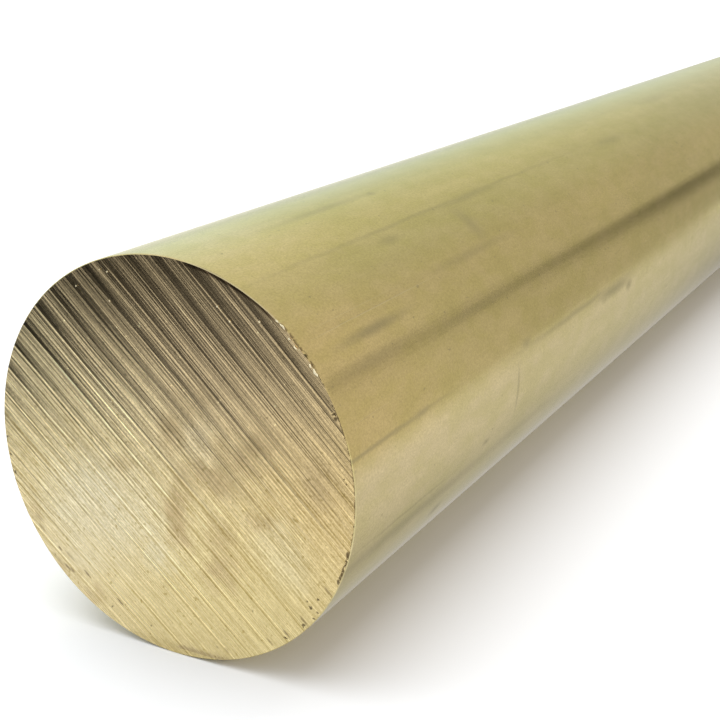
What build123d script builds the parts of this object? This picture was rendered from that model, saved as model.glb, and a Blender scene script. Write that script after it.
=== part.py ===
from build123d import *
import os

# Solid round bar of drawn brass, sawn square to length at both ends.
#
# Frame: +X runs along the bar and +Z is up. The bar lies on its side, and the
# origin is on the floor, under the middle of the bar.

# Driving dimensions, in millimetres
BAR_DIAMETER = 60.0
BAR_LENGTH = 500.0
EDGE_BREAK = 0.3  # flat rubbed onto the corner where a saw cut meets the drawn surface

# The bar's own axis lies one radius above the floor.
bar_radius = BAR_DIAMETER / 2
near_end = Plane(
    origin=(-BAR_LENGTH / 2, 0, bar_radius),
    x_dir=(0, 1, 0),
    z_dir=(1, 0, 0),
)

with BuildPart() as round_bar:
    with BuildSketch(near_end):
        Circle(radius=bar_radius)
    extrude(amount=BAR_LENGTH)

    sawn_rims = round_bar.edges().filter_by(GeomType.CIRCLE)
    chamfer(sawn_rims, length=EDGE_BREAK)

round_bar.part.label = "round_bar"

os.makedirs("parts", exist_ok=True)
export_step(round_bar.part, "parts/round_bar.step")
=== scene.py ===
"""Round brass bar, drawn along its outside and sawn across both ends, on a pale studio floor.

Laid out as an add-on: the sizes and finishes are properties, and each piece and the studio
have an operator of their own. Everything is in metres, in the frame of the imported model.
"""

import math

import bpy
import numpy as np
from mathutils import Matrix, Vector


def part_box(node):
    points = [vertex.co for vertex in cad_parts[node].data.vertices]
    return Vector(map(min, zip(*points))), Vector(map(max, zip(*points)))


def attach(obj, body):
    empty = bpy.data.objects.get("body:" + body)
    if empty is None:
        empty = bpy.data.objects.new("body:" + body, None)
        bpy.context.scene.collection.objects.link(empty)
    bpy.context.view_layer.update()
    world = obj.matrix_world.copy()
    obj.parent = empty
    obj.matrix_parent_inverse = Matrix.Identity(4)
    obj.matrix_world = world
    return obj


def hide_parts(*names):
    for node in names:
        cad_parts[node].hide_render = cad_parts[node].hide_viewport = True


bl_info = {
    "name": "Sawn brass round bar",
    "version": (1, 0, 0),
    "blender": (4, 5, 0),
    "location": "3D View > Sidebar > Round bar",
    "description": "Dresses a plain round bar as drawn brass with sawn ends",
    "category": "Object",
}

NODE = "round_bar"
BODY = "root"

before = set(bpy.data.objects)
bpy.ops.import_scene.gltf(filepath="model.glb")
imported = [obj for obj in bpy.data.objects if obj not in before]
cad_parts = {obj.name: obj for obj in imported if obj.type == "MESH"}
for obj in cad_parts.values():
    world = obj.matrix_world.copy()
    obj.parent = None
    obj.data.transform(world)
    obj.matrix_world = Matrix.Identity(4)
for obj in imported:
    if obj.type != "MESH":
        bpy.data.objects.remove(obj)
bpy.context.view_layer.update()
bar_low, bar_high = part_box(NODE)
MM = 0.001


# ---------------------------------------------------------------- sizes and finishes


class BarSettings(bpy.types.PropertyGroup):
    """Sizes and colours of the bar and its saw cuts."""

    length: bpy.props.FloatProperty(
        name="Length",
        description="Length of the bar between its two saw cuts",
        default=bar_high.x - bar_low.x,
        unit="LENGTH",
    )
    diameter: bpy.props.FloatProperty(
        name="Diameter",
        description="Diameter of the drawn outside",
        default=bar_high.z - bar_low.z,
        unit="LENGTH",
    )
    saw_angle: bpy.props.FloatProperty(
        name="Saw angle",
        description="Slope of the saw marks below the horizontal, seen from the near end",
        default=math.radians(42.2),
        subtype="ANGLE",
    )
    saw_fan: bpy.props.FloatProperty(
        name="Saw fan",
        description="How much the saw marks close up over one radius towards their lower end",
        default=0.054,
    )
    saw_pitch: bpy.props.FloatProperty(
        name="Saw pitch",
        description="Distance between two ridges that the blade left",
        default=3.49 * MM,
        unit="LENGTH",
    )
    brass: bpy.props.FloatVectorProperty(
        name="Brass",
        description="Colour of the bare metal on a saw cut",
        default=(0.645, 0.54, 0.305),
        subtype="COLOR",
    )
    drawn_brass: bpy.props.FloatVectorProperty(
        name="Drawn brass",
        description="Colour of the duller metal along the outside",
        default=(0.56, 0.475, 0.20),
        subtype="COLOR",
    )
    fresh_brass: bpy.props.FloatVectorProperty(
        name="Fresh brass",
        description="Colour of the brighter metal along the outside, close to a saw cut",
        default=(0.60, 0.49, 0.205),
        subtype="COLOR",
    )
    # Painted reflection: the colour below paints the outside paler low on its -Y side, for the
    # pale floor seen in the metal, and at the sheen spots.
    pale_reflection: bpy.props.FloatVectorProperty(
        name="Pale film",
        description="Colour of the paler film low on the -Y side of the outside",
        default=(0.64, 0.545, 0.29),
        subtype="COLOR",
    )
    stain: bpy.props.FloatVectorProperty(
        name="Stain",
        description="Colour of the oxide stains on the outside",
        default=(0.32, 0.28, 0.15),
        subtype="COLOR",
    )
    # Also the colour of the painted highlight along the outside's edge at the near cut.
    burr_brass: bpy.props.FloatVectorProperty(
        name="Burr brass",
        description="Colour of the bright slivers and edges that the saw turned up",
        default=(0.82, 0.74, 0.50),
        subtype="COLOR",
    )
    tarnish: bpy.props.FloatVectorProperty(
        name="Tarnish",
        description="Colour of the brown film in patches on a saw cut",
        default=(0.455, 0.345, 0.18),
        subtype="COLOR",
    )
    rubbed_brass: bpy.props.FloatVectorProperty(
        name="Rubbed brass",
        description="Colour of the pale places on a saw cut",
        default=(0.655, 0.585, 0.395),
        subtype="COLOR",
    )
    # The colour below is also that of the painted shade line inside a cut's rim and of the painted
    # shade in the notched stretch of the outside's edge.
    grime_and_shade: bpy.props.FloatVectorProperty(
        name="Grime",
        description="Colour of the dirt in pits along the rim of a saw cut",
        default=(0.10, 0.062, 0.028),
        subtype="COLOR",
    )


class StudioSettings(bpy.types.PropertyGroup):
    """Floor, lights and camera round the bar."""

    floor_colour: bpy.props.FloatVectorProperty(
        name="Floor",
        description="Colour of the plain floor",
        default=(0.84, 0.86, 0.88),
        subtype="COLOR",
    )
    lens: bpy.props.FloatProperty(
        name="Lens",
        description="Focal length of the camera on a 36 mm sensor",
        default=65.5,
        unit="CAMERA",
    )


def bar_settings():
    """The bar's own settings, as the panel shows them."""
    return bpy.context.scene.round_bar_settings


def studio_settings():
    """The studio's settings, as the panel shows them."""
    return bpy.context.scene.round_bar_studio


# ---------------------------------------------------------------- shapes


def smooth_noise(u, v, cells_u, cells_v, seed):
    """Noise from -1 to 1 over the unit square: random values at the corners of a grid of cells,
    joined by the smoothstep of how far a point lies across its cell."""
    values = np.random.default_rng(seed).uniform(-1, 1, (cells_u + 2, cells_v + 2))
    at_u = np.clip(u, 0, 1) * cells_u
    at_v = np.clip(v, 0, 1) * cells_v
    i = at_u.astype(int)
    j = at_v.astype(int)
    across = at_u - i
    along = at_v - j
    across = across * across * (3 - 2 * across)
    along = along * along * (3 - 2 * along)
    low = values[i, j] * (1 - along) + values[i, j + 1] * along
    high = values[i + 1, j] * (1 - along) + values[i + 1, j + 1] * along
    return low * (1 - across) + high * across


def saw_lines(rows, fan):
    """Saw lines across the unit disc. Line q is v = q (1 - fan u), and the lines follow
    q = sin(turn) / sqrt(1 - fan^2), so that the first and last only touch the rim.
    Returns q and the u where each line meets the rim on either side."""
    turn = np.linspace(-np.pi / 2, np.pi / 2, rows + 1)
    q = np.sin(turn) / math.sqrt(1 - fan * fan)
    spread = 1 + (fan * q) ** 2
    middle = fan * q**2 / spread
    half = np.cos(turn) / spread
    return q, middle - half, middle + half


# The line of the first ridge. The feed wandered, so the ridges after it shift by a sine: its
# height, its period and its start are all counted in ridges.
FIRST_RIDGE = 0.927
FEED_SHIFT, FEED_PERIOD, FEED_START = 0.132, 9.76, 3.84


def ridge_count(q, pitch):
    """How many ridges lie between the first one and line q, for a pitch in radii: the distance
    over the pitch, plus a slow sine of that."""
    plain = (FIRST_RIDGE - q) / pitch
    return plain + FEED_SHIFT * np.sin(2 * np.pi * (plain - FEED_START) / FEED_PERIOD)


def bump(at, centre, width):
    """A bell of height 1 round a centre on a circle of length 1."""
    gap = np.abs((at - centre + 0.5) % 1 - 0.5)
    return np.exp(-((gap / width) ** 2))


def running_height(slope, phase):
    """The height at a phase, 0 to 1, of a ridge with the given slopes over 0 to 1: their
    running sum, less the part that would not close."""
    slope = slope - slope.mean()
    height = np.cumsum(slope) / len(slope)
    return np.interp(phase % 1.0, np.linspace(0, 1, len(slope)), height - height.mean())


# One ridge, as bells of slope along its phase: centre, width, slope. The climb and the steep edge
# that ends it are what the blade left where it went in. The crest, the valley after it and the
# lesser scores run right across the cut.
RIDGE_CLIMB = ((0.80, 0.14, 0.085),)
RIDGE_EDGE = ((0.905, 0.034, 0.66),)
RIDGE_CREST = ((0.000, 0.026, -0.14),)
RIDGE_VALLEY = ((0.115, 0.032, 0.08),)
RIDGE_SCORES = (
    (0.200, 0.022, -0.05),
    (0.265, 0.020, 0.03),
    (0.345, 0.020, -0.05),
    (0.420, 0.034, -0.12),
    (0.500, 0.022, 0.05),
    (0.570, 0.024, -0.07),
    (0.650, 0.020, 0.03),
)


def ridge_height(bells, phase):
    """The height at a phase of a ridge whose slope is a sum of bells."""
    at = np.linspace(0, 1, 721)
    slope = sum(steep * bump(at, centre, width) for centre, width, steep in bells)
    return running_height(slope, phase)


def smoothstep(value, low, high):
    """0 below low, 1 above high, and 3 s^2 - 2 s^3 of the share s between them."""
    share = np.clip((value - low) / (high - low), 0, 1)
    return share * share * (3 - 2 * share)


def way_in(u, q, fan):
    """How near a point lies to where the blade went in, 1 at the left end of its saw line and
    falling off along the line as a bell. The bell is 0.17 radii wide low on the cut and 0.35
    high on it, and it is lower on the first and last lines."""
    turn = np.arcsin(np.clip(q * math.sqrt(1 - fan * fan), -1, 1))
    spread = 1 + (fan * q) ** 2
    left = fan * q**2 / spread - np.cos(turn) / spread
    width = 0.17 + 0.18 * smoothstep(q, -0.4, 0.6)
    ends = smoothstep(q, -0.75, -0.35) * (1 - 0.5 * smoothstep(q, 0.80, 0.95))
    return ends * np.exp(-(((u - left) / width) ** 2))


def on_unit_square(u, q):
    """u and q moved from -1.1..1.1 to 0..1, as smooth_noise() takes them."""
    return (u + 1.1) / 2.2, (q + 1.1) / 2.2


def wandering_count(u, q, settings, seed):
    """The ridge count, pushed back and forth by up to a twentieth of a ridge, and lagging as a
    bell near the left end of the middle lines, where the blade hung back."""
    along, across = on_unit_square(u, q)
    pitch = settings.saw_pitch / (settings.diameter / 2)
    lag = 0.07 * np.exp(-(((u + 0.65) / 0.3) ** 2) - ((q - 0.05) / 0.25) ** 2)
    return ridge_count(q, pitch) + 0.05 * smooth_noise(along, across, 5, 9, seed) - lag


def saw_relief(u, q, settings, seed):
    """Height of a saw cut above its mean plane, in metres, at u along the saw lines and on line
    q, both in radii: one ridge for each pitch, boldest where the blade went in and with an edge
    that fades low on the cut and to the right, plus fine scores as noise that is very long along
    the lines and short across them."""
    along, across = on_unit_square(u, q)
    count = wandering_count(u, q, settings, seed)
    near = way_in(u, q, settings.saw_fan)
    uneven = 1.0 + 0.2 * smooth_noise(along, across, 3, 17, seed + 1)
    climb = ridge_height(RIDGE_CLIMB, count) * (0.25 + 0.85 * near) * uneven
    spent = (1.0 - 0.75 * smoothstep(-q, -0.25, 0.4)) * (1.0 - 0.5 * smoothstep(u, -0.1, 0.5))
    climb += ridge_height(RIDGE_EDGE, count) * (0.36 + 0.70 * near) * spent
    crest = ridge_height(RIDGE_CREST, count) * (0.40 + 0.70 * smoothstep(-q, -0.4, 0.2))
    crest += ridge_height(RIDGE_VALLEY, count) * (1.0 - 0.3 * smoothstep(u + q, 0.2, 0.9))
    lesser = smoothstep(q - 0.5 * u, -1.0, -0.4) * (1.0 - 0.35 * smoothstep(u + q, 0.3, 1.1))
    crest += ridge_height(RIDGE_SCORES, count) * lesser
    crest *= uneven
    scores = 0.005 * smooth_noise(along, across, 2, 70, seed + 2)
    scores += 0.006 * smooth_noise(along, across, 3, 150, seed + 3)
    scores += 0.003 * smooth_noise(along, across, 5, 260, seed + 4)
    return (climb + crest) * settings.saw_pitch + scores * MM


def rim_wear(turns, seed):
    """Width of the worn corner of a saw cut, and how far its burr stands out, both in metres,
    at turns in radians from the top towards -Y. The wear is slight, and wider along the stretch
    round 30 degrees. Round 47 degrees noise adds deep chips and a ragged burr, and round 112
    degrees slight chips."""
    degrees = np.degrees(turns)
    share = (turns / (2 * np.pi)) % 1.0

    def stretch_of(centre, width):
        gap = (degrees - centre + 180) % 360 - 180
        return np.exp(-((gap / width) ** 2))

    ragged = smooth_noise(share, 0 * share, 330, 1, seed)
    coarse = smooth_noise(share, 0 * share, 120, 1, seed + 1)
    chipped = np.clip(coarse + 0.2 * ragged - 0.1, 0, 1)
    rounding = 0.12 + 0.10 * stretch_of(30, 20) + (0.12 + 0.5 * chipped) * stretch_of(47.5, 5)
    rounding += 0.10 * chipped * stretch_of(112, 30)
    burr = 0.10 * np.clip(ragged + 0.4 * coarse - 0.15, 0, 1) * stretch_of(46, 12)
    return rounding * MM, burr * MM


def quads(first, second):
    """Triangles between two rows of vertex numbers, wound so that they face the side from
    which the first row runs left to right with the second row above it."""
    a, b = first[:-1], first[1:]
    d, c = second[:-1], second[1:]
    return np.concatenate([np.stack([a, b, c], 1), np.stack([a, c, d], 1)])


def halving(ring, coarse):
    """Triangles from a ring of vertex numbers to one of half as many, each coarse vertex
    standing over every second fine one."""
    a, m, b = ring[0::2], ring[1::2], np.roll(ring[0::2], -1)
    d, c = coarse, np.roll(coarse, -1)
    return np.concatenate([np.stack([a, m, d], 1), np.stack([m, b, c], 1), np.stack([m, c, d], 1)])


def end_grid(settings, rows, columns, end_x, outward, seed):
    """One saw cut as a grid of rows along the saw lines. A point at (u, v) of the unit disc is
    turned by the saw angle, drawn in near the rim to leave the rounded corner, and raised by the
    relief. Returns the points, the triangles, and the rim's point numbers round the bar."""
    radius = settings.diameter / 2
    q, left, right = saw_lines(rows, settings.saw_fan)
    share = (1 - np.cos(np.linspace(0, np.pi, columns + 1))) / 2
    u = left[:, None] + (right - left)[:, None] * share[None, :]
    lines = np.repeat(q[:, None], columns + 1, 1)
    v = lines * (1 - settings.saw_fan * u)
    turn_c, turn_s = math.cos(settings.saw_angle), math.sin(settings.saw_angle)
    rightward = u * turn_c + v * turn_s
    upward = v * turn_c - u * turn_s
    height = saw_relief(u, lines, settings, seed)
    reach = np.hypot(rightward, upward)
    rounding, _ = rim_wear(np.arctan2(rightward, upward), seed)
    inner = radius - rounding * np.clip((reach - 0.9) / 0.1, 0, 1)
    points = np.stack(
        [end_x + outward * height, -rightward * inner, upward * inner + radius], -1
    )
    number = np.arange((rows + 1) * (columns + 1)).reshape(rows + 1, columns + 1)
    number[0, :] = number[0, 0]
    number[-1, :] = number[-1, 0]
    triangles = np.concatenate([quads(number[i], number[i + 1]) for i in range(rows)])
    keep = (
        (triangles[:, 0] != triangles[:, 1])
        & (triangles[:, 1] != triangles[:, 2])
        & (triangles[:, 2] != triangles[:, 0])
    )
    rim = np.concatenate([number[:-1, -1], number[:0:-1, 0]])
    return points.reshape(-1, 3), triangles[keep], rim


def ridges_at(points, settings, seed):
    """The wandering ridge count at points of a cut, from their y and z turned back into the
    saw lines' own u and q, and how deep each lies in a bite of the blade: a bell on the climb of
    the ridge, times the nearness to where the blade went in. The sawn finish paints shade there."""
    radius = settings.diameter / 2
    rightward = -points[:, 1] / radius
    upward = points[:, 2] / radius - 1
    turn_c, turn_s = math.cos(settings.saw_angle), math.sin(settings.saw_angle)
    u = rightward * turn_c - upward * turn_s
    v = rightward * turn_s + upward * turn_c
    q = v / (1 - settings.saw_fan * u)
    count = wandering_count(u, q, settings, seed)
    bite = bump(count % 1.0, 0.89, 0.09) * np.clip(way_in(u, q, settings.saw_fan), 0, 1)
    return np.stack([count, bite], 1)


def ring(radius, turns, x, lift):
    """Points of a circle round the bar's axis at the given turns from the top towards -Y."""
    x = np.broadcast_to(x, turns.shape)
    radius = np.broadcast_to(radius, turns.shape)
    return np.stack([x, -radius * np.sin(turns), radius * np.cos(turns) + lift], -1)


def corner_rings(turns, end_x, outward, radius, seed):
    """Rings that slope the corner of a saw cut off at 45 degrees, the burr pushed out along the
    slope, and two more that carry its edge back to the plain outside."""
    rounding, burr = rim_wear(turns, seed)
    for part in (0.06, 0.35, 0.70, 1.0):
        inset = rounding * (1 - part) - burr * part
        depth = rounding * part - burr * (1 - part) * min(1.0, 6 * part)
        yield ring(radius - inset, turns, end_x - outward * depth, radius)
    yield ring(radius + 0 * turns, turns, end_x - outward * 1.4 * MM, radius)
    yield ring(radius + 0 * turns, turns, end_x - outward * 3.0 * MM, radius)


# Grid of a saw cut: rows of saw lines, and columns along each.
CUT_ROWS, CUT_COLUMNS = 960, 34
# How far the mean plane of a saw cut lies inside the end of the bar.
CUT_DEPTH = 0.1 * MM
# Distances from an end at which the rings of the outside have half as many points as before, and
# the number of steps between the last two.
HALVED_AT = (5 * MM, 8 * MM)
LONG_STEPS = 11


def bar_mesh(settings):
    """The whole bar as one closed mesh: a saw cut, its worn corner, the drawn outside in rings
    that thin out away from the cut, and the other corner and cut. Returns the points, the
    triangles, each triangle's material number, and each point's ridge count and bite."""
    radius = settings.diameter / 2
    half = settings.length / 2
    points, triangles, finish, ridges = [], [], [], []
    count = 0

    def add(new_points, new_triangles, outward, slot, seed=0):
        nonlocal count
        points.append(new_points)
        ridges.append(ridges_at(new_points, settings, seed))
        triangles.append(new_triangles[:, ::-1] if outward < 0 else new_triangles)
        finish.append(np.full(len(new_triangles), slot))
        count += len(new_points)

    inner_rings = []
    for outward, seed in ((-1, 11), (1, 47)):
        end_x = outward * (half - CUT_DEPTH)
        cut, faces, rim = end_grid(settings, CUT_ROWS, CUT_COLUMNS, end_x, outward, seed)
        turns = np.arctan2(-cut[rim, 1], cut[rim, 2] - radius)
        add(cut, faces + count, outward, 1, seed)
        edge = rim + count - len(cut)
        for place, loop in enumerate(corner_rings(turns, end_x, outward, radius, seed)):
            numbers = np.arange(len(loop)) + count
            strip = quads(np.append(edge, edge[0]), np.append(numbers, numbers[0]))
            add(loop, strip, outward, 1 if place == 0 else 0, seed)
            edge = numbers
        for depth in HALVED_AT:
            turns = turns[0::2]
            loop = ring(radius, turns, outward * (half - depth), radius)
            numbers = np.arange(len(loop)) + count
            add(loop, halving(edge, numbers), outward, 0)
            edge = numbers
        inner_rings.append(edge)
    previous, last = inner_rings
    reach = half - HALVED_AT[-1]
    for x in np.linspace(-reach, reach, LONG_STEPS + 1)[1:-1]:
        loop = ring(radius, turns, x, radius)
        numbers = np.arange(len(loop)) + count
        add(loop, quads(np.append(previous, previous[0]), np.append(numbers, numbers[0])), -1, 0)
        previous = numbers
    strip = quads(np.append(previous, previous[0]), np.append(last, last[0]))
    add(np.empty((0, 3)), strip, -1, 0)
    return [np.concatenate(parts) for parts in (points, triangles, finish, ridges)]


# Slivers and crumbs that the saw turned up on the near cut: degrees from the top towards -Y,
# distance from the middle in radii, and half length and half thickness in millimetres.
BURRS = (
    (-30.5, 0.929, 0.14, 0.10),
    (-20.4, 0.804, 0.16, 0.10),
    (-20.1, 0.954, 0.12, 0.09),
    (-17.7, 0.935, 0.14, 0.10),
    (-49.8, 0.402, 0.14, 0.09),
    (21.4, 0.866, 0.18, 0.14),
    (26.8, 0.838, 0.16, 0.13),
    (34.7, 0.933, 0.18, 0.12),
    (38.4, 0.998, 0.30, 0.11),
    (40.3, 1.000, 0.55, 0.13),
    (43.7, 0.984, 0.20, 0.14),
    (46.3, 0.980, 0.34, 0.11),
    (52.2, 0.990, 0.30, 0.14),
    (54.3, 0.993, 0.66, 0.17),
)


def burr_mesh(settings):
    """All slivers as closed spindles of 9 stations and 6 sides. A spindle follows the rim over
    t from 0 to 1: its half thickness is scaled by sin(pi t) to the power 0.7, and its middle
    waves in and out with sin(3 pi t). The far cut has the same ones, turned half way round."""
    radius = settings.diameter / 2
    degrees, reach, length, thickness = np.array(BURRS).T
    t = np.linspace(0, 1, 9)
    around = np.linspace(0, 2 * np.pi, 6, endpoint=False)
    points, triangles = [], []
    for outward, offset in ((-1, 0.0), (1, 180.0)):
        middle = np.radians(degrees + offset)
        half_turn = length * MM / radius
        turns = middle[:, None] + half_turn[:, None] * (2 * t - 1)
        girth = thickness[:, None] * MM * np.sin(np.pi * t) ** 0.7
        wave = 0.4 * thickness[:, None] * MM * np.sin(3 * np.pi * t + middle[:, None] * 40)
        across = (reach * radius)[:, None] + wave
        level = across[:, :, None] + girth[:, :, None] * np.cos(around)
        x = outward * (settings.length / 2 + 0.04 * MM + girth[:, :, None] * np.sin(around))
        sideways = -level * np.sin(turns)[:, :, None]
        upward = level * np.cos(turns)[:, :, None] + radius
        points.append(np.stack([x, sideways, upward], -1).reshape(-1, 3))
    number = np.arange(len(t) * len(around)).reshape(len(t), len(around))
    closed = np.append(number, number[:, :1], 1)
    skin = np.concatenate([quads(closed[i], closed[i + 1]) for i in range(len(t) - 1)])
    for place in range(2 * len(BURRS)):
        facing = skin if place < len(BURRS) else skin[:, ::-1]
        triangles.append(facing + place * number.size)
    return np.concatenate(points), np.concatenate(triangles)


def mesh_object(name, points, triangles, finish, ridges, materials):
    """A mesh object from arrays of points, triangles, each triangle's material number and each
    point's ridge count and bite, if it has them, without the points that no triangle uses."""
    used, renumbered = np.unique(triangles, return_inverse=True)
    triangles = renumbered.reshape(triangles.shape)
    mesh = bpy.data.meshes.new(name)
    mesh.from_pydata(points[used], [], triangles)
    for material in materials:
        mesh.materials.append(material)
    mesh.polygons.foreach_set("material_index", finish.astype(np.int32))
    if ridges is not None:
        for place, title in enumerate(("ridges", "bite")):
            values = mesh.attributes.new(title, "FLOAT", "POINT")
            values.data.foreach_set("value", ridges[used, place].astype(np.float32))
    mesh.validate()
    made = bpy.data.objects.new(name, mesh)
    bpy.context.scene.collection.objects.link(made)
    return made


# ---------------------------------------------------------------- node helpers


def add_node(tree, kind, settings=None, inputs=None):
    """A node with its settings, and its inputs by name or number as a value or a socket."""
    made = tree.nodes.new(kind)
    for name, value in (settings or {}).items():
        setattr(made, name, value)
    for name, value in (inputs or {}).items():
        if isinstance(value, bpy.types.NodeSocket):
            tree.links.new(value, made.inputs[name])
        else:
            made.inputs[name].default_value = value
    return made


def calculate(tree, operation, *values):
    """The output of a Math node."""
    settings = {"operation": operation}
    return add_node(tree, "ShaderNodeMath", settings, dict(enumerate(values))).outputs[0]


def times(tree, first, *others):
    """The product of several numbers or sockets."""
    for other in others:
        first = calculate(tree, "MULTIPLY", first, other)
    return first


def plus(tree, total, value, share=1.0):
    """A total plus a share of a value."""
    return calculate(tree, "MULTIPLY_ADD", value, share, total)


def vector_math(tree, operation, inputs):
    """A Vector Math node."""
    return add_node(tree, "ShaderNodeVectorMath", {"operation": operation}, inputs)


def separate(tree, vector):
    """The x, y and z of a vector."""
    return tuple(add_node(tree, "ShaderNodeSeparateXYZ", None, {0: vector}).outputs)


def combine(tree, *parts):
    """A vector from its x, y and, if it isn't 0, z."""
    return add_node(tree, "ShaderNodeCombineXYZ", None, dict(enumerate(parts))).outputs[0]


def stretch(tree, vector, scale, location=(0, 0, 0)):
    """A vector scaled and then moved by a Mapping node."""
    inputs = {"Vector": vector, "Location": location, "Scale": scale}
    return add_node(tree, "ShaderNodeMapping", None, inputs).outputs[0]


def noise(tree, vector, cells, detail=2.0, roughness=0.5):
    """The value of a Noise Texture, about 0 to 1, with so many cells to each unit of x, y, z."""
    inputs = {
        "Vector": stretch(tree, vector, cells),
        "Scale": 1.0,
        "Detail": detail,
        "Roughness": roughness,
    }
    return add_node(tree, "ShaderNodeTexNoise", None, inputs).outputs[0]


def ease(tree, value, low, high, to_low=0.0, to_high=1.0, kind="SMOOTHSTEP"):
    """A value mapped from low..high to to_low..to_high, with soft ends, and held there."""
    inputs = {0: value, 1: low, 2: high, 3: to_low, 4: to_high}
    made = add_node(tree, "ShaderNodeMapRange", {"interpolation_type": kind}, inputs)
    return made.outputs[0]


def ramp(tree, value, low, high, to_low=0.0, to_high=1.0):
    """A value mapped from low..high to to_low..to_high in a straight line, and held there."""
    return ease(tree, value, low, high, to_low, to_high, "LINEAR")


def layers(tree, table, places):
    """The noise of each row of a table of patterns by its name, the lightness that they give
    together, about 1, and the height that they add up to."""
    patterns, lightness, height = {}, 1.0, 0.0
    for name, (place, cells, detail, roughness, tone, lift) in table.items():
        pattern = noise(tree, places[place], cells, detail, roughness)
        patterns[name] = pattern
        if tone:
            lightness = times(tree, ramp(tree, pattern, 0.3, 0.7, 1 - tone, 1 + tone), lightness)
        if lift:
            height = plus(tree, height, pattern, lift)
    return patterns, lightness, height


def as_colour(colour):
    """A colour or a socket as a colour input takes it, with full alpha."""
    return colour if isinstance(colour, bpy.types.NodeSocket) else (*colour, 1.0)


def paint(tree, share, under, over, kind="MIX"):
    """A share of one colour laid over another."""
    inputs = {"Factor": share, 6: as_colour(under), 7: as_colour(over)}
    settings = {"data_type": "RGBA", "blend_type": kind}
    return add_node(tree, "ShaderNodeMix", settings, inputs).outputs[2]


def shaded(tree, colour, *shares):
    """A colour made darker or lighter by one share, or by one each for red, green and blue."""
    red, green, blue = shares * 3 if len(shares) == 1 else shares
    tone = add_node(tree, "ShaderNodeCombineColor", None, {0: red, 1: green, 2: blue})
    return paint(tree, 1.0, colour, tone.outputs[0], "MULTIPLY")


def toned(tree, colour, share, browning):
    """A colour made darker or lighter by a share. Where the share is below 1, blue is times its
    power `browning` as well, and red is divided by a fifth of that power."""
    dark = calculate(tree, "MINIMUM", share, 1.0)
    red = calculate(tree, "POWER", dark, times(tree, browning, -0.2))
    blue = calculate(tree, "POWER", dark, browning)
    return shaded(tree, colour, times(tree, share, red), share, times(tree, share, blue))


def tinted(tree, colour, share, tint):
    """A colour times a share of a tint."""
    return paint(tree, 1.0, colour, paint(tree, share, (1, 1, 1), tint), "MULTIPLY")


def frayed(tree, vector, place, cells, reach):
    """A vector pushed about by noise on Object coordinates, by up to `reach` each way."""
    inputs = {"Vector": place, "Scale": cells, "Detail": 3.0}
    cloud = add_node(tree, "ShaderNodeTexNoise", None, inputs).outputs["Color"]
    push = stretch(tree, cloud, [2 * part for part in reach], [-part for part in reach])
    return vector_math(tree, "ADD", {0: vector, 1: push}).outputs[0]


def marks(tree, vector, spots, core=0.15):
    """The strongest of several soft oval spots at a vector. Each spot is its centre, its half
    sizes and its strength, full inside the share `core` of its size and gone at its edge."""
    total = None
    for (x, y), (half_x, half_y), strength in spots:
        centre = (-x / half_x, -y / half_y, 0)
        offset = stretch(tree, vector, (1 / half_x, 1 / half_y, 0), centre)
        length = vector_math(tree, "LENGTH", {0: offset}).outputs["Value"]
        spot = ease(tree, length, core, 1.0, strength, 0.0)
        total = spot if total is None else calculate(tree, "MAXIMUM", total, spot)
    return total


def between(tree, degrees, start, end, soft):
    """1 between two angles, fading to 0 over `soft` degrees outside them."""
    opening = ease(tree, degrees, start - soft, start)
    return times(tree, opening, ease(tree, degrees, end, end + soft, 1.0, 0.0))


def turn_degrees(tree, first, second):
    """The angle in degrees whose tangent is the first over the second."""
    return times(tree, calculate(tree, "ARCTAN2", first, second), math.degrees(1))


def new_material(name):
    """An empty node material with its Principled shader and Object coordinates."""
    material = bpy.data.materials.new(name)
    material.use_nodes = True
    tree = material.node_tree
    tree.nodes.clear()
    output = add_node(tree, "ShaderNodeOutputMaterial")
    shader = add_node(tree, "ShaderNodeBsdfPrincipled")
    tree.links.new(shader.outputs[0], output.inputs[0])
    place = add_node(tree, "ShaderNodeTexCoord").outputs["Object"]
    return material, tree, shader, place


def finish_surface(tree, shader, colour, roughness, metallic, height, depth):
    """Gives a shader its colour, roughness, metallic share, and bump of `depth` metres for each
    unit of height."""
    tree.links.new(colour, shader.inputs["Base Color"])
    tree.links.new(roughness, shader.inputs["Roughness"])
    shader.inputs["Metallic"].default_value = metallic
    inputs = {"Height": height, "Distance": depth, "Strength": 1.0}
    relief = add_node(tree, "ShaderNodeBump", None, inputs)
    tree.links.new(relief.outputs[0], shader.inputs["Normal"])


# ---------------------------------------------------------------- places on the bar


def saw_line_place(tree, place, settings):
    """Object coordinates turned into (u, q, x) of the saw lines: u runs along them, and q is
    v / (1 - fan u), so a pattern on q fans out just as the ridges do."""
    radius = settings.diameter / 2
    x, y, z = separate(tree, place)
    rightward = times(tree, y, -1 / radius)
    upward = plus(tree, -1.0, z, 1 / radius)
    turn_c, turn_s = math.cos(settings.saw_angle), math.sin(settings.saw_angle)
    u = plus(tree, times(tree, rightward, turn_c), upward, -turn_s)
    v = plus(tree, times(tree, rightward, turn_s), upward, turn_c)
    q = calculate(tree, "DIVIDE", v, plus(tree, 1.0, u, -settings.saw_fan))
    return combine(tree, u, q, x)


def face_place(tree, place, settings):
    """Object coordinates turned into (right, up) over a saw cut, in radii from its middle. On
    the far cut they are turned half way round, so that its marks lie elsewhere."""
    radius = settings.diameter / 2
    x, y, z = separate(tree, place)
    side = times(tree, calculate(tree, "SIGN", x), -1.0)
    right = times(tree, y, -1 / radius, side)
    return combine(tree, right, times(tree, plus(tree, -1.0, z, 1 / radius), side))


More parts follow.
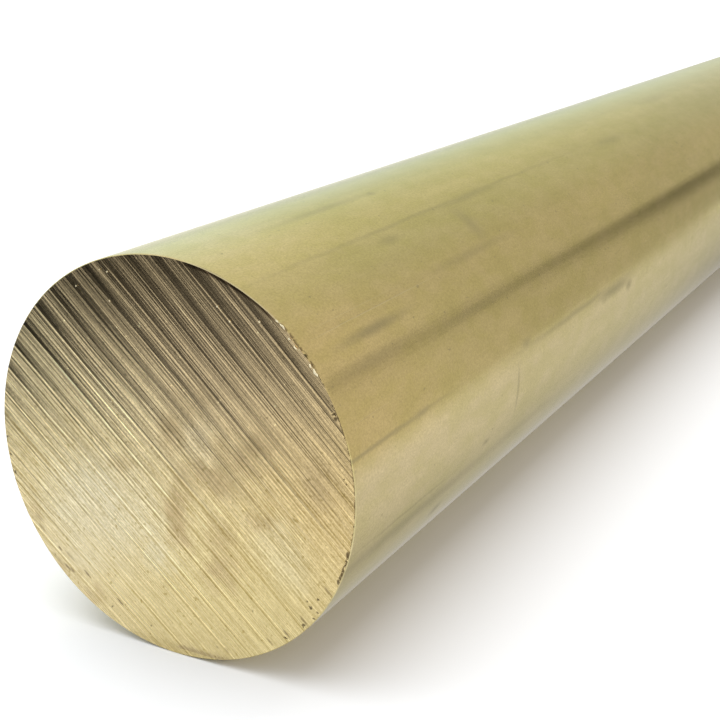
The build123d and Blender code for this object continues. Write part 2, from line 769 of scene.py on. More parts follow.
def outside_place(tree, place, settings):
    """Object coordinates turned into (distance from the near cut in radii, degrees from the top
    towards -Y) over the drawn outside."""
    radius = settings.diameter / 2
    x, y, z = separate(tree, place)
    distance = plus(tree, settings.length / settings.diameter, x, 1 / radius)
    upward = calculate(tree, "SUBTRACT", z, radius)
    return combine(tree, distance, turn_degrees(tree, times(tree, y, -1.0), upward))


# ---------------------------------------------------------------- sawn finish

# Patterns of a saw cut: where they lie, cells for each unit of that place, detail, roughness, how
# far they lighten and darken, and their share of the height. The saw lines' place counts in
# radii, and the other one in metres.
SAWN_PATTERNS = {
    "coarse": ("lines", (0.35, 45, 40), 2.0, 0.6, 0.09, 1.0),
    "fine": ("lines", (0.6, 120, 40), 2.0, 0.6, 0.16, 0.6),
    "hairs": ("lines", (1.2, 310, 40), 1.0, 0.5, 0.24, 0.25),
    "dashes": ("lines", (11, 105, 40), 2.0, 0.6, 0.17, 0.0),
    "grain": ("place", (3400, 3400, 3400), 2.0, 0.7, 0.15, 0.07),
    "grit": ("place", (1250, 1250, 1250), 1.0, 0.5, 0.0, 0.0),
    "patches": ("place", (70, 70, 70), 4.0, 0.6, 0.0, 0.0),
}
SAWN_BUMP = 0.06 * MM
# Tints that the metal takes on towards the upper right and towards the lower right of a cut.
BROWN_TINT = (1.03, 0.955, 0.94)
YELLOW_TINT = (0.965, 0.95, 0.83)
# Brown film and pale rubbed places on a saw cut, as centre (right, up), half sizes, strength.
FILM_SPOTS = (
    ((0.01, 0.16), (0.13, 0.17), 0.62),
    ((0.09, 0.30), (0.12, 0.09), 0.35),
    ((0.50, 0.18), (0.14, 0.11), 0.65),
    ((0.42, 0.10), (0.15, 0.11), 0.60),
    ((0.26, -0.03), (0.19, 0.13), 0.65),
    ((0.12, -0.07), (0.13, 0.10), 0.40),
    ((0.06, -0.18), (0.10, 0.13), 0.52),
    ((0.02, -0.28), (0.12, 0.15), 0.70),
    ((-0.28, -0.03), (0.13, 0.08), 0.40),
    ((0.23, -0.48), (0.17, 0.13), 0.60),
    ((0.50, -0.22), (0.11, 0.08), 0.35),
    ((0.82, 0.05), (0.15, 0.18), 0.48),
    ((0.24, 0.40), (0.14, 0.10), 0.35),
    ((0.28, -0.34), (0.14, 0.11), 0.40),
    ((-0.68, -0.72), (0.10, 0.07), 0.45),
    ((-0.52, -0.80), (0.12, 0.06), 0.35),
    ((-0.80, -0.42), (0.06, 0.12), 0.35),
)
RUBBED_SPOTS = (
    ((-0.42, -0.35), (0.55, 0.48), 0.80),
    ((-0.30, -0.20), (0.30, 0.16), 0.45),
    ((-0.66, -0.26), (0.24, 0.24), 0.50),
    ((-0.08, -0.50), (0.10, 0.18), 0.80),
    ((-0.50, -0.62), (0.22, 0.14), 0.60),
    ((0.60, -0.33), (0.26, 0.26), 0.55),
    ((0.20, 0.14), (0.16, 0.14), 0.35),
)
# The brightest place on a saw cut in the same form.
LIGHTER_PLACE = (((-0.34, 0.32), (0.52, 0.46), 1.0),)
# Pits near the rim of a saw cut, as degrees from the top, distance from the middle in radii, and
# half sizes.
RIM_PITS = (
    (65.4, 0.982, (0.012, 0.014)),
    (66.8, 0.980, (0.013, 0.012)),
    (83.0, 0.950, (0.008, 0.005)),
    (84.6, 0.957, (0.006, 0.006)),
    (121.8, 0.945, (0.009, 0.006)),
    (124.9, 0.914, (0.008, 0.005)),
    (125.6, 0.942, (0.011, 0.007)),
    (125.3, 0.977, (0.009, 0.007)),
    (127.8, 0.987, (0.008, 0.006)),
    (132.0, 0.976, (0.013, 0.009)),
    (139.7, 0.975, (0.010, 0.005)),
    (145.1, 0.791, (0.005, 0.005)),
    (189.5, 0.900, (0.006, 0.005)),
    (204.7, 0.925, (0.007, 0.006)),
    (256.5, 0.981, (0.012, 0.014)),
    (262.0, 0.985, (0.007, 0.010)),
    (267.5, 0.986, (0.007, 0.012)),
    (274.0, 0.987, (0.006, 0.012)),
)
# Brown smears near the lower rim, with half sizes along and across the saw lines, and strength.
RIM_SMEARS = (
    (229.6, 0.916, (0.018, 0.009), 1.0),
    (225.7, 0.891, (0.050, 0.014), 0.40),
    (223.6, 0.952, (0.036, 0.010), 1.0),
    (221.8, 0.940, (0.024, 0.008), 0.9),
    (217.4, 0.877, (0.034, 0.008), 1.0),
    (202.6, 0.870, (0.034, 0.009), 1.0),
    (241.1, 0.935, (0.046, 0.016), 0.45),
    (238.0, 0.950, (0.040, 0.014), 0.40),
    (227.5, 0.972, (0.060, 0.012), 0.50),
    (214.0, 0.955, (0.050, 0.012), 0.35),
    (145.4, 0.955, (0.028, 0.008), 0.8),
    (161.7, 0.951, (0.024, 0.010), 0.5),
    (165.0, 0.930, (0.016, 0.008), 0.5),
    (117.5, 0.968, (0.040, 0.010), 0.75),
    (130.8, 0.962, (0.036, 0.009), 0.9),
    (138.6, 0.958, (0.040, 0.008), 1.0),
)
# Stretches of the rim, in degrees from the top, and the degrees over which they fade: chewed by
# the saw, parted from the corner by a dirty seam, and in the corner's shade, painted as a line.
CHEWED_RIM = (104, 112.5, 1.5)
SEAMED_RIM = (66, 100, 4)
SHADED_RIM = (12, 35, 8)


def rim_spots(places):
    """Spots for marks() from degrees round the rim and distances from the middle."""
    for degrees, distance, size in places:
        turn = math.radians(degrees)
        yield (distance * math.sin(turn), distance * math.cos(turn)), size, 1.0


def streaks_along(places, settings):
    """Spots for marks() on the saw lines' own u and q, from degrees round the rim, distances
    from the middle, half sizes and strengths."""
    for degrees, distance, size, strength in places:
        turn = math.radians(degrees) - settings.saw_angle
        u, v = distance * math.sin(turn), distance * math.cos(turn)
        yield (u, v / (1 - settings.saw_fan * u)), size, strength


def attribute(tree, name):
    """A number that each point of the mesh carries."""
    return add_node(tree, "ShaderNodeAttribute", {"attribute_name": name}).outputs["Fac"]


def ridge_line(tree, ridges, centre, half):
    """1 along a thin line at one place of each ridge, fading to 0 at `half` a ridge from it."""
    phase = calculate(tree, "FRACT", calculate(tree, "ADD", ridges, 0.5 - centre))
    gap = calculate(tree, "ABSOLUTE", calculate(tree, "SUBTRACT", phase, 0.5))
    return ease(tree, gap, 0.0, half, 1.0, 0.0)


def ridge_light_and_shade(tree, lines, depth):
    """Painted light and shade along the crests and scores of the ridges: each bell of slope that
    faces up is painted lighter and each that faces down darker, by `depth` times its slope,
    patchily along the line. Low on the cut the crests are clearer, and the lesser scores fade out."""
    ridges = attribute(tree, "ridges")
    u, q, _ = separate(tree, lines)
    uneven = ease(tree, noise(tree, lines, (1.6, 9, 40)), 0.3, 0.65, 0.70, 1.15)
    clear = times(tree, uneven, ease(tree, q, -0.3, 0.3, 2.9, 1.0))
    lesser = times(tree, uneven, ease(tree, plus(tree, q, u, -0.5), -1.0, -0.4))
    total = 1.0
    for bells, share in ((RIDGE_CREST + RIDGE_VALLEY, clear), (RIDGE_SCORES, lesser)):
        for centre, width, slope in bells:
            line = times(tree, ridge_line(tree, ridges, centre, 1.5 * width), share)
            total = plus(tree, total, line, -depth * slope)
    return total


def sawn_colour(tree, over, place, patterns, settings):
    """The colour of a saw cut without its scores and dirt: pale rubbed places on bare metal that
    turns browner to the upper right and yellower to the lower right, under a brown film that
    lies in patches and is broken along the scores. Returns it with the share of film."""
    right, up, _ = separate(tree, over)
    patches = patterns["patches"]
    spot = frayed(tree, over, place, 90.0, (0.16, 0.16, 0))
    spot = frayed(tree, spot, place, 420.0, (0.07, 0.07, 0))
    rubbed = marks(tree, spot, RUBBED_SPOTS)
    rubbed = times(tree, rubbed, ease(tree, patches, 0.35, 0.6, 1.1, 0.6))
    colour = paint(tree, rubbed, settings.brass, settings.rubbed_brass)
    warmth = plus(tree, plus(tree, up, right, 0.8), patches, 0.8)
    colour = tinted(tree, colour, ease(tree, warmth, 0.05, 1.35), BROWN_TINT)
    yellow = plus(tree, plus(tree, right, up, -0.75), patches, 0.6)
    colour = tinted(tree, colour, ease(tree, yellow, 0.1, 1.3), YELLOW_TINT)
    film = ease(tree, patches, 0.5, 0.75, 0.0, 0.10)
    film = calculate(tree, "MINIMUM", plus(tree, film, marks(tree, spot, FILM_SPOTS), 1.2), 1.0)
    film = times(tree, film, ramp(tree, patterns["dashes"], 0.35, 0.6, 0.55, 1.15))
    return paint(tree, film, colour, settings.tarnish), film


def sawn_lightness(tree, over, lines, patterns, scores):
    """The lightness of a saw cut, about 1. The scores are boldest across its middle. Painted light
    and shade along the ridges, painted shade where the blade went in, specks and, on its upper
    half, bright crumbs lie over them. The cut is painted darker towards its upper left rim as
    shade, and is lighter over one place left of and above its middle."""
    right, up, _ = separate(tree, over)
    off_middle = calculate(tree, "ABSOLUTE", plus(tree, 0.1, up))
    bold = ease(tree, off_middle, 0.15, 0.7, 1.28, 0.9)
    bold = times(tree, bold, ease(tree, up, -0.65, -0.2, 0.78, 1.0))
    scores = plus(tree, 1.0, calculate(tree, "SUBTRACT", scores, 1.0), bold)
    # Painted light and shade along the ridges, by the slope of each crest and score.
    ridges = ridge_light_and_shade(tree, lines, 1.1)
    # Painted shade on the climb of each ridge near where the blade went in.
    bite_shade = plus(tree, 1.0, attribute(tree, "bite"), -0.20)
    # Painted shade: darker towards the upper left rim of the cut.
    rim = ease(tree, plus(tree, up, right, -0.35), 0.68, 0.98, 1.0, 0.74)
    # Lighter over one listed place to the upper left of the middle.
    lighter_place = plus(tree, 1.0, marks(tree, over, LIGHTER_PLACE, 0.0), 0.11)
    specks = ease(tree, patterns["grit"], 0.69, 0.76, 1.0, 0.70)
    crumbs = ease(tree, patterns["grit"], 0.22, 0.28, 0.6, 0.0)
    specks = plus(tree, specks, crumbs, ease(tree, up, 0.0, 0.4))
    return times(tree, scores, ridges, bite_shade, rim, lighter_place, specks)


def rim_dirt_and_shade(tree, over, place):
    """How deep the rim of a saw cut is pitted, from 0 to 1, and the share of dark colour on it: in
    its dirty pits, along the chewed and the seamed stretch, and as an even painted shade line in
    the shaded one."""
    right, up, _ = separate(tree, over)
    reach = vector_math(tree, "LENGTH", {0: over}).outputs["Value"]
    degrees = turn_degrees(tree, right, up)
    torn = noise(tree, place, (1900, 1900, 1900), 2.0, 0.6)
    torn_reach = plus(tree, reach, torn, 0.022)
    chewed = times(
        tree, ease(tree, torn_reach, 0.993, 0.999), between(tree, degrees, *CHEWED_RIM),
        ease(tree, torn, 0.36, 0.50),
    )
    seam = ease(tree, torn_reach, 1.003, 1.007, 0.0, 0.8)
    seam = times(tree, seam, between(tree, degrees, *SEAMED_RIM))
    ragged = frayed(tree, over, place, 1500.0, (0.015, 0.015, 0))
    pits = marks(tree, ragged, rim_spots(RIM_PITS), 0.2)
    pits = calculate(tree, "MAXIMUM", pits, calculate(tree, "MAXIMUM", chewed, seam))
    # Painted shade: an even dark line just inside the rim, where the corner shades the cut.
    line = ease(tree, reach, 0.974, 0.986, 0.0, 0.9)
    line = times(tree, line, between(tree, degrees, *SHADED_RIM))
    return pits, calculate(tree, "MAXIMUM", times(tree, pits, 0.72), line)


def sawn_brass(settings):
    """Bright, coarse metal of a saw cut: scores along the saw lines in its colour, roughness and
    bump, a brown film in patches, paler rubbed places, smears, dirty pits and stretches along the
    rim, and painted light and shade along the ridges and round the rim. Its darker scores are
    browner low on the cut."""
    material, tree, shader, place = new_material("sawn_brass")
    lines = saw_line_place(tree, place, settings)
    over = face_place(tree, place, settings)
    places = {"lines": lines, "place": place}
    patterns, scores, height = layers(tree, SAWN_PATTERNS, places)
    colour, film = sawn_colour(tree, over, place, patterns, settings)
    browning = ease(tree, separate(tree, over)[1], -0.2, 0.45, 0.75, 0.05)
    lightness = sawn_lightness(tree, over, lines, patterns, scores)
    colour = toned(tree, colour, lightness, browning)
    smeared = frayed(tree, lines, place, 1500.0, (0.014, 0.005, 0))
    smears = times(tree, marks(tree, smeared, streaks_along(RIM_SMEARS, settings), 0.3), 0.62)
    colour = paint(tree, smears, colour, settings.grime_and_shade)
    # Dirty pits and stretches along the rim, and a painted shade line inside its shaded stretch.
    pits, dirt_and_shade = rim_dirt_and_shade(tree, over, place)
    colour = paint(tree, dirt_and_shade, colour, settings.grime_and_shade)
    roughness = plus(tree, ease(tree, patterns["fine"], 0.3, 0.7, 0.20, 0.30), film, 0.06)
    roughness = plus(tree, roughness, pits, 0.4)
    height = plus(tree, height, pits, -3.0)
    finish_surface(tree, shader, colour, roughness, 1.0, height, SAWN_BUMP)
    return material


def burr_brass(settings):
    """Torn metal of the slivers, so rough that it shines from every side: a fine grain in its
    colour, roughness and bump."""
    material, tree, shader, place = new_material("burr_brass")
    grain = noise(tree, place, (2500, 2500, 2500), 3.0, 0.6)
    colour = shaded(tree, settings.burr_brass, ramp(tree, grain, 0.3, 0.7, 0.80, 1.15))
    roughness = ease(tree, grain, 0.3, 0.7, 0.45, 0.7)
    finish_surface(tree, shader, colour, roughness, 0.3, grain, 0.04 * MM)
    return material


# ---------------------------------------------------------------- drawn finish

# Patterns of the drawn outside, in the form of SAWN_PATTERNS, with cells for each metre.
DRAWN_PATTERNS = {
    "die lines": ("place", (6, 900, 900), 3.0, 0.6, 0.0, 1.0),
    "streaks": ("place", (9, 160, 160), 3.0, 0.55, 0.05, 0.0),
    "haze": ("place", (14, 45, 45), 3.0, 0.5, 0.04, 0.0),
    "mottle": ("place", (130, 260, 260), 4.0, 0.6, 0.07, 0.0),
    "grain": ("place", (2400, 3200, 3200), 2.0, 0.7, 0.11, 0.8),
    "grit": ("place", (800, 1100, 1100), 1.0, 0.5, 0.0, 0.0),
}
DRAWN_BUMP = 0.01 * MM
# Tints of the mottle on the drawn outside.
GREENISH, ROSY = (1, 1.01, 0.96), (1, 0.99, 1.05)
# Stains on the drawn outside, as centre (radii from the near cut, degrees from the top towards
# -Y), half sizes in the same units, strength.
STAINS = (
    ((2.00, 25.6), (3.20, 1.3), 0.50),
    ((2.40, 26.2), (0.80, 2.6), 0.60),
    ((1.25, 7.3), (0.80, 3.0), 0.60),
    ((1.74, 7.8), (0.11, 2.4), 0.75),
    ((1.28, 30.2), (0.20, 3.0), 0.55),
    ((2.12, 36.0), (0.16, 12.0), 0.55),
    ((1.90, 45.4), (0.80, 2.6), 0.45),
    ((0.58, 51.6), (0.52, 2.6), 0.95),
    ((0.45, 58.5), (0.55, 2.8), 0.42),
    ((1.60, 61.0), (0.70, 2.2), 0.35),
    ((0.20, 78.3), (1.20, 1.1), 0.80),
    ((0.70, 78.4), (0.14, 1.6), 0.80),
    ((0.42, 78.4), (0.09, 1.4), 0.70),
    ((2.03, 79.8), (0.10, 2.8), 0.70),
    ((2.95, 81.2), (1.50, 1.8), 0.70),
    ((3.55, 82.6), (0.55, 3.6), 1.00),
    ((3.37, 83.8), (0.12, 2.6), 0.70),
    ((3.88, 85.0), (0.13, 3.2), 0.95),
    ((1.49, 103.3), (0.07, 1.6), 0.90),
    ((0.60, 105.2), (0.80, 1.0), 0.60),
    ((0.70, 109.5), (1.70, 4.2), 0.75),
    ((1.90, 109.8), (1.20, 3.6), 0.45),
    ((1.04, 117.3), (0.11, 3.6), 0.90),
    ((4.97, 27.5), (0.45, 4.0), 0.45),
    ((6.90, 13.4), (0.60, 5.0), 0.35),
    ((9.80, 40.0), (1.40, 3.0), 0.60),
    ((12.4, -35.0), (1.90, 1.8), 0.60),
    ((7.30, -62.0), (1.30, 3.4), 0.60),
    ((3.10, -48.0), (1.10, 2.2), 0.60),
    ((5.20, -88.0), (2.20, 1.6), 0.60),
)
# Painted sheen: paler places on the drawn outside, for the bright sky and pale floor seen in the
# metal, in the same form.
SHEEN_SPOTS = (
    ((0.20, -2.0), (1.30, 36.0), 0.95),
    ((3.00, 97.0), (1.50, 18.0), 1.00),
    ((0.00, 94.0), (0.60, 9.0), 0.60),
)
# Fine scratches on the drawn outside in the same form.
SCRATCHES = (
    ((0.70, 46.6), (0.85, 0.22), 0.9),
    ((0.55, 44.2), (0.65, 0.16), 0.5),
    ((0.25, 70.5), (0.35, 0.14), 0.4),
    ((8.60, -22.0), (1.30, 0.22), 0.7),
    ((11.2, 64.0), (1.00, 0.20), 0.7),
)
CROSS_SCRATCH = (((1.89, 92.5), (0.026, 11.0), 0.45),)
# Stretches of the outside's edge, in degrees from the top, and the degrees over which they fade:
# with a painted highlight, and notched, with painted shade in each notch.
BRIGHT_EDGE = (12, 40, 8)
NOTCHED_EDGE = (41, 52, 3)


def drawn_colour(tree, ragged, worn, mottle, settings):
    """The colour of the drawn outside without its marks: brighter close to both cuts, painted
    paler low on the -Y side as the reflection of the pale floor and at a few spots as sheen, and
    mottled in two tints."""
    distance, degrees, _ = separate(tree, ragged)
    whole_length = 2 * settings.length / settings.diameter
    far_cut = calculate(tree, "SUBTRACT", whole_length, distance)
    fresh = ease(tree, calculate(tree, "MINIMUM", distance, far_cut), 0.0, 1.3, 1.0, 0.0)
    colour = paint(tree, fresh, settings.drawn_brass, settings.fresh_brass)
    # Painted reflection of the pale floor, low on the -Y side.
    low = ease(tree, degrees, 77.0, 88.0)
    low = times(tree, low, ease(tree, degrees, 130.0, 165.0, 1.0, 0.0), 0.90)
    # Painted reflection and painted sheen together.
    pale = calculate(tree, "MAXIMUM", low, worn)
    colour = paint(tree, pale, colour, settings.pale_reflection)
    tint = paint(tree, ease(tree, mottle, 0.35, 0.65), GREENISH, ROSY)
    return paint(tree, 1.0, colour, tint, "MULTIPLY")


def edge_highlight_and_shade(tree, spot, place):
    """The shares of painted highlight and of painted notch shade along the outside's edge at the
    near cut.
    """
    distance, degrees, _ = separate(tree, spot)
    # Painted highlight along the edge.
    bright = ease(tree, distance, 0.004, 0.010, 0.45, 0.0)
    torn = noise(tree, place, (1600, 1600, 1600), 2.0, 0.6)
    # Painted shade in each notch of the edge.
    notch_shade = ease(tree, distance, 0.006, 0.016, 0.7, 0.0)
    notch_shade = times(tree, notch_shade, ease(tree, torn, 0.46, 0.54))
    return (
        times(tree, bright, between(tree, degrees, *BRIGHT_EDGE)),
        times(tree, notch_shade, between(tree, degrees, *NOTCHED_EDGE)),
    )


def drawn_brass(settings):
    """Dull metal of the drawn outside: die lines and faint streaks along the bar, a fine grain,
    oxide stains, a painted reflection low on the -Y side and painted sheen at a few spots, a few
    scratches, and a notched edge with a painted highlight along it and painted shade in each
    notch.
    It shines a little more across the bar than along it."""
    material, tree, shader, place = new_material("drawn_brass")
    patterns, lightness, height = layers(tree, DRAWN_PATTERNS, {"place": place})
    spot = outside_place(tree, place, settings)
    ragged = frayed(tree, spot, place, 120.0, (0.10, 0.8, 0))
    stains = marks(tree, ragged, STAINS, 0.0)
    # Painted sheen at a few paler spots.
    worn = marks(tree, frayed(tree, spot, place, 40.0, (0.4, 6.0, 0)), SHEEN_SPOTS, 0.0)
    bright = marks(tree, frayed(tree, spot, place, 90.0, (0.1, 0.3, 0)), SCRATCHES, 0.3)
    crossing = marks(tree, frayed(tree, spot, place, 60.0, (0.03, 0.8, 0)), CROSS_SCRATCH, 0.3)
    edge_highlight, notch_shade = edge_highlight_and_shade(tree, spot, place)
    colour = drawn_colour(tree, ragged, worn, patterns["mottle"], settings)
    colour = shaded(tree, colour, lightness)
    for share, over in (
        (ease(tree, patterns["grit"], 0.72, 0.79, 0.0, 0.5), settings.stain),
        (times(tree, stains, 0.7), settings.stain),
        (times(tree, bright, 0.6), settings.brass),
        (crossing, settings.stain),
        # Painted highlight along the edge, and painted shade in its notched stretch.
        (edge_highlight, settings.burr_brass),
        (notch_shade, settings.grime_and_shade),
    ):
        colour = paint(tree, share, colour, over)
    roughness = plus(tree, ease(tree, patterns["haze"], 0.3, 0.7, 0.17, 0.21), stains, 0.08)
    height = plus(tree, plus(tree, height, bright, -2.0), crossing, -2.0)
    finish_surface(tree, shader, colour, roughness, 1.0, height, DRAWN_BUMP)
    shader.inputs["Anisotropic"].default_value = 0.2
    shader.inputs["Specular Tint"].default_value = (0.82, 0.82, 0.66, 1)
    tangent = add_node(tree, "ShaderNodeTangent", {"direction_type": "RADIAL", "axis": "X"})
    tree.links.new(tangent.outputs[0], shader.inputs["Tangent"])
    return material


# ---------------------------------------------------------------- studio

FLOOR_REACH = 12.0
WARM_LIGHT = (1.0, 0.93, 0.92)
PLAIN_LIGHT = (1.0, 1.0, 0.98)
COOL_LIGHT = (0.97, 1.08, 1.16)
# Strips of soft light round the bar's axis: place (0 level on the -Y side, 0.5 overhead, 1 level
# on the +Y side), level and tint.
SKY_STRIPS = (
    (0.0, 0.84, WARM_LIGHT),
    (0.16, 0.86, WARM_LIGHT),
    (0.32, 0.82, WARM_LIGHT),
    (0.50, 0.86, PLAIN_LIGHT),
    (0.68, 1.03, PLAIN_LIGHT),
    (0.91, 1.13, COOL_LIGHT),
    (1.0, 1.0, COOL_LIGHT),
)
FAR_SIDE_TINT = (1.0, 0.985, 0.86)
BACKDROP = (0.95, 0.95, 0.94)
# The flag stands this far ahead of the near cut.
FLAG_DISTANCE = 76 * MM


def flat_card(name, corners, material):
    """A flat four-cornered stage card."""
    mesh = bpy.data.meshes.new(name)
    mesh.from_pydata(corners, [], [(0, 1, 2, 3)])
    mesh.materials.append(material)
    card = bpy.data.objects.new(name, mesh)
    bpy.context.scene.collection.objects.link(card)
    return card


def lay_floor(settings):
    """A plain pale floor, far larger than the view."""
    material, _, shader, _ = new_material("pale_floor")
    shader.inputs["Base Color"].default_value = as_colour(settings.floor_colour)
    shader.inputs["Roughness"].default_value = 0.8
    shader.inputs["Specular IOR Level"].default_value = 0.2
    low, high = -FLOOR_REACH, FLOOR_REACH
    corners = [(low, low, 0), (high, low, 0), (high, high, 0), (low, high, 0)]
    flat_card("floor", corners, material)


def dark_streak(tree, along, share):
    """How far a narrow dark strip of the sky takes its light away. It sinks towards +X, where it
    is darkest. Its upper edge is sharp, and its lower one is soft and widens towards +X."""
    above = calculate(tree, "SUBTRACT", share, plus(tree, 0.443, along, -0.35))
    foot = ramp(tree, along, 0.915, 0.957, -0.045, -0.145)
    strip = ease(tree, above, 0.011, 0.024, 1.0, 0.0)
    strip = times(tree, strip, ramp(tree, above, foot, -0.008))
    return times(tree, strip, ramp(tree, along, 0.905, 0.950, -0.41, -0.79))


def light_sky():
    """Soft light from all round, as long strips that run along the bar: the colour follows the
    angle round the bar's axis. One narrow strip is dark. Towards +X the sky is a little dimmer,
    and yellower on its +Y side."""
    world = bpy.data.worlds.new("studio_sky")
    world.use_nodes = True
    tree = world.node_tree
    tree.nodes.clear()
    along, y, z = separate(tree, add_node(tree, "ShaderNodeTexCoord").outputs["Generated"])
    angle = calculate(tree, "ARCTAN2", z, times(tree, y, -1.0))
    share = times(tree, angle, 1 / math.pi)
    strips = add_node(tree, "ShaderNodeValToRGB", None, {0: share})
    stops = strips.color_ramp.elements
    while len(stops) < len(SKY_STRIPS):
        stops.new(0.5)
    for stop, (spot, level, light) in zip(stops, SKY_STRIPS):
        stop.position = spot
        stop.color = (*(level * part for part in light), 1)
    far = ramp(tree, along, 0.75, 0.95, 1.0, 0.86)
    level = times(tree, far, plus(tree, 1.0, dark_streak(tree, along, share)))
    sky = shaded(tree, strips.outputs[0], level)
    far_side = times(tree, ease(tree, share, 0.68, 0.9), ease(tree, along, 0.84, 0.95))
    sky = tinted(tree, sky, far_side, FAR_SIDE_TINT)
    seen = add_node(tree, "ShaderNodeLightPath").outputs["Is Camera Ray"]
    colour = paint(tree, seen, sky, BACKDROP)
    glow = add_node(tree, "ShaderNodeBackground", None, {"Color": colour, "Strength": 1.0})
    output = add_node(tree, "ShaderNodeOutputWorld")
    tree.links.new(glow.outputs[0], output.inputs[0])
    bpy.context.scene.world = world


def hang_light():
    """A broad soft light over the floor, which leaves the reflections in the metal alone."""
    data = bpy.data.lights.new("overhead_light", "AREA")
    data.shape = "RECTANGLE"
    data.size = 3.0
    data.size_y = 3.0
    data.energy = 60
    lamp = bpy.data.objects.new("overhead_light", data)
    bpy.context.scene.collection.objects.link(lamp)
    lamp.location = (-0.3, 0.3, 2.4)
    lamp.visible_glossy = False
    lamp.visible_camera = False


def glow_material(name, level, colour):
    """A material that shines with a colour and a level, which nodes work out from Object
    coordinates: `level` is called with the tree and the x, y and z sockets."""
    material = bpy.data.materials.new(name)
    material.use_nodes = True
    tree = material.node_tree
    tree.nodes.clear()
    place = add_node(tree, "ShaderNodeTexCoord").outputs["Object"]
    inputs = {"Color": as_colour(colour), "Strength": level(tree, *separate(tree, place))}
    glow = add_node(tree, "ShaderNodeEmission", None, inputs)
    output = add_node(tree, "ShaderNodeOutputMaterial")
    tree.links.new(glow.outputs[0], output.inputs[0])
    return material


def reflection_card(name, corners, material):
    """A stage card that shows only in the metal, and shades nothing."""
    card = flat_card(name, corners, material)
    card.visible_camera = False
    card.visible_diffuse = False
    card.visible_shadow = False


def stand_flag():
    """A dark flag ahead of the near saw cut. It pales towards the floor and towards -Y, and is
    darkest from 24 mm up on its +Y part."""

    def level(tree, x, y, z):
        return times(
            tree,
            ramp(tree, z, 0.0, 0.024, 0.43, 0.037),
            ramp(tree, y, 0.018, 0.078, 2.60, 0.85),
            plus(tree, 1.0, ease(tree, z, 0.008, 0.024, 0.0, -0.68), ease(tree, y, 0.035, 0.070)),
        )

    material = glow_material("black_flag", level, (1, 1, 1.09))
    x, left, right, top = bar_low.x - FLAG_DISTANCE, 0.60, -0.10, 0.12
    corners = [(x, right, 0), (x, left, 0), (x, left, top), (x, right, top)]
    reflection_card("front_flag", corners, material)


def stand_board():
    """A long dull board on the -Y side with a sheet laid before it. Both are duller towards the
    far end. The sheet is duller towards the bar too, the more so far along it, and its last
    stretch is brighter again."""

    def board_level(tree, x, y, z):
        return ramp(tree, x, -0.1, 0.22, 0.84, 0.58)

    def sheet_level(tree, x, y, z):
        far = times(tree, ramp(tree, y, -0.055, -0.03, 0.0, -0.28), ramp(tree, x, -0.05, 0.1))
        return times(
            tree,
            ramp(tree, y, -0.10, -0.047, 1.00, 0.86),
            ramp(tree, y, -0.047, -0.030, 1.0, 0.76),
            plus(tree, 1.0, far),
            ease(tree, x, 0.19, 0.25, 1.0, 1.45),
            ramp(tree, x, -0.1, 0.15, 1.0, 0.85),
        )

    start, side, low, high = bar_low.x - 3 * MM, -0.125, 1 * MM, 0.05
    end = 1.6
    material = glow_material("warm_board", board_level, WARM_LIGHT)
    corners = [(start, side, low), (end, side, low), (end, side, high), (start, side, high)]
    reflection_card("side_board", corners, material)
    sheet_end = bar_high.x
    material = glow_material("pink_sheet", sheet_level, (1.0, 0.97, 1.04))
    corners = [(start, side, low), (sheet_end, side, low), (sheet_end, 0, low), (start, 0, low)]
    reflection_card("side_sheet", corners, material)


def lay_front_sheet():
    """A pale sheet on the floor from the near saw cut to the flag: a little dimmer close to the
    cut, at the flag and towards -Y."""
    start, end = bar_low.x - FLAG_DISTANCE, bar_low.x - 0.5 * MM

    def level(tree, x, y, z):
        return times(
            tree,
            ramp(tree, x, end - 0.012, end, 1.15, 1.05),
            ramp(tree, x, start, start + 0.045, 0.96, 1.0),
            ramp(tree, y, -0.01, 0.03, 0.93, 1.0),
        )

    material = glow_material("front_sheet", level, (1.0, 1.01, 1.03))
    side, lift = 0.2, 1.2 * MM
    corners = [(start, -side, lift), (end, -side, lift), (end, side, lift), (start, side, lift)]
    reflection_card("front_sheet", corners, material)


def set_camera(settings, bar):
    """The camera, placed from the middle of the near saw cut in radii of the bar."""
    radius = bar.diameter / 2
    data = bpy.data.cameras.new("camera")
    data.lens = settings.lens
    data.sensor_width = 36
    data.clip_start = 0.01
    data.clip_end = 60
    camera = bpy.data.objects.new("camera", data)
    bpy.context.scene.collection.objects.link(camera)
    cut_middle = Vector((bar_low.x, 0, radius))
    camera.location = cut_middle + radius * Vector((-4.552, -3.470, 2.357))
    aim = Vector((0.8372, 0.4504, -0.3103))
    camera.rotation_euler = aim.to_track_quat("-Z", "Y").to_euler()
    bpy.context.scene.camera = camera


# ---------------------------------------------------------------- operators


class ROUNDBAR_OT_bar(bpy.types.Operator):
    """Makes the bar itself, with its drawn outside and both saw cuts"""

    bl_idname = "round_bar.bar"
    bl_label = "Brass bar"

    def execute(self, context):
        settings = bar_settings()
        materials = [drawn_brass(settings), sawn_brass(settings)]
        bar = mesh_object("sawn_brass_bar", *bar_mesh(settings), materials)
        bar.data.shade_smooth()
        bar.data.set_sharp_from_angle(angle=math.radians(35))
        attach(bar, BODY)
        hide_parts(NODE)
        return {"FINISHED"}


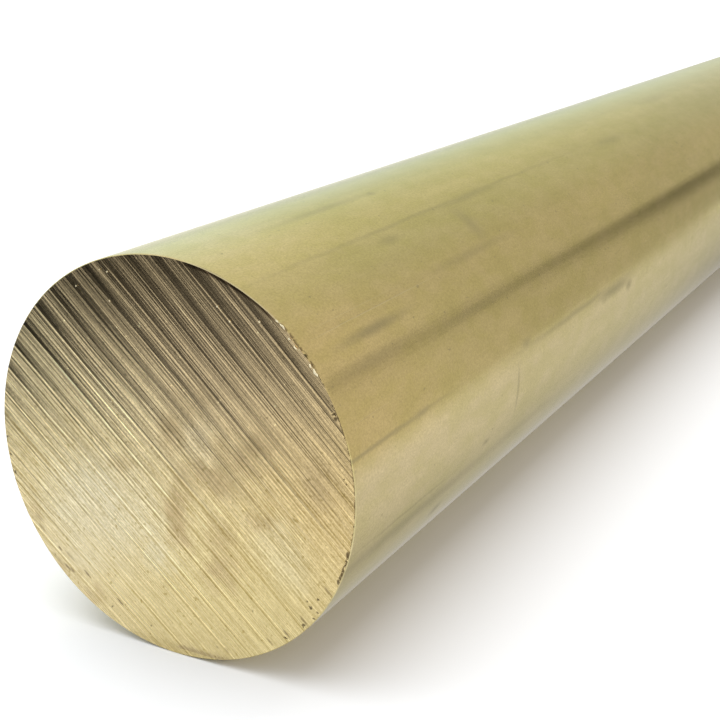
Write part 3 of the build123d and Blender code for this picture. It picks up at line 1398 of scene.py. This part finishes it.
class ROUNDBAR_OT_burrs(bpy.types.Operator):
    """Makes the slivers that the saw left along the rims"""

    bl_idname = "round_bar.burrs"
    bl_label = "Saw burrs"

    def execute(self, context):
        settings = bar_settings()
        points, triangles = burr_mesh(settings)
        finish = np.zeros(len(triangles))
        burrs = mesh_object("saw_burrs", points, triangles, finish, None, [burr_brass(settings)])
        burrs.data.shade_smooth()
        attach(burrs, BODY)
        return {"FINISHED"}


class ROUNDBAR_OT_studio(bpy.types.Operator):
    """Makes the floor, the lights and the camera"""

    bl_idname = "round_bar.studio"
    bl_label = "Studio"

    def execute(self, context):
        lay_floor(studio_settings())
        light_sky()
        hang_light()
        stand_flag()
        stand_board()
        lay_front_sheet()
        set_camera(studio_settings(), bar_settings())
        context.scene.view_settings.view_transform = "Standard"
        return {"FINISHED"}


class ROUNDBAR_PT_panel(bpy.types.Panel):
    """Lists the bar's pieces and settings"""

    bl_idname = "ROUNDBAR_PT_panel"
    bl_label = "Round bar"
    bl_space_type = "VIEW_3D"
    bl_region_type = "UI"
    bl_category = "Round bar"

    def draw(self, context):
        for settings in (bar_settings(), studio_settings()):
            for name in settings.__annotations__:
                self.layout.prop(settings, name)
        for operator in OPERATORS:
            self.layout.operator(operator.bl_idname)


OPERATORS = (ROUNDBAR_OT_bar, ROUNDBAR_OT_burrs, ROUNDBAR_OT_studio)
CLASSES = (BarSettings, StudioSettings, *OPERATORS, ROUNDBAR_PT_panel)


def register():
    """Adds the classes and the two groups of settings."""
    for made in CLASSES:
        bpy.utils.register_class(made)
    bpy.types.Scene.round_bar_settings = bpy.props.PointerProperty(type=BarSettings)
    bpy.types.Scene.round_bar_studio = bpy.props.PointerProperty(type=StudioSettings)


def unregister():
    """Takes the settings and the classes away again."""
    del bpy.types.Scene.round_bar_studio
    del bpy.types.Scene.round_bar_settings
    for made in reversed(CLASSES):
        bpy.utils.unregister_class(made)


def main():
    """Makes every piece and the studio."""
    register()
    bpy.ops.round_bar.bar()
    bpy.ops.round_bar.burrs()
    bpy.ops.round_bar.studio()


if __name__ == "__main__":
    main()
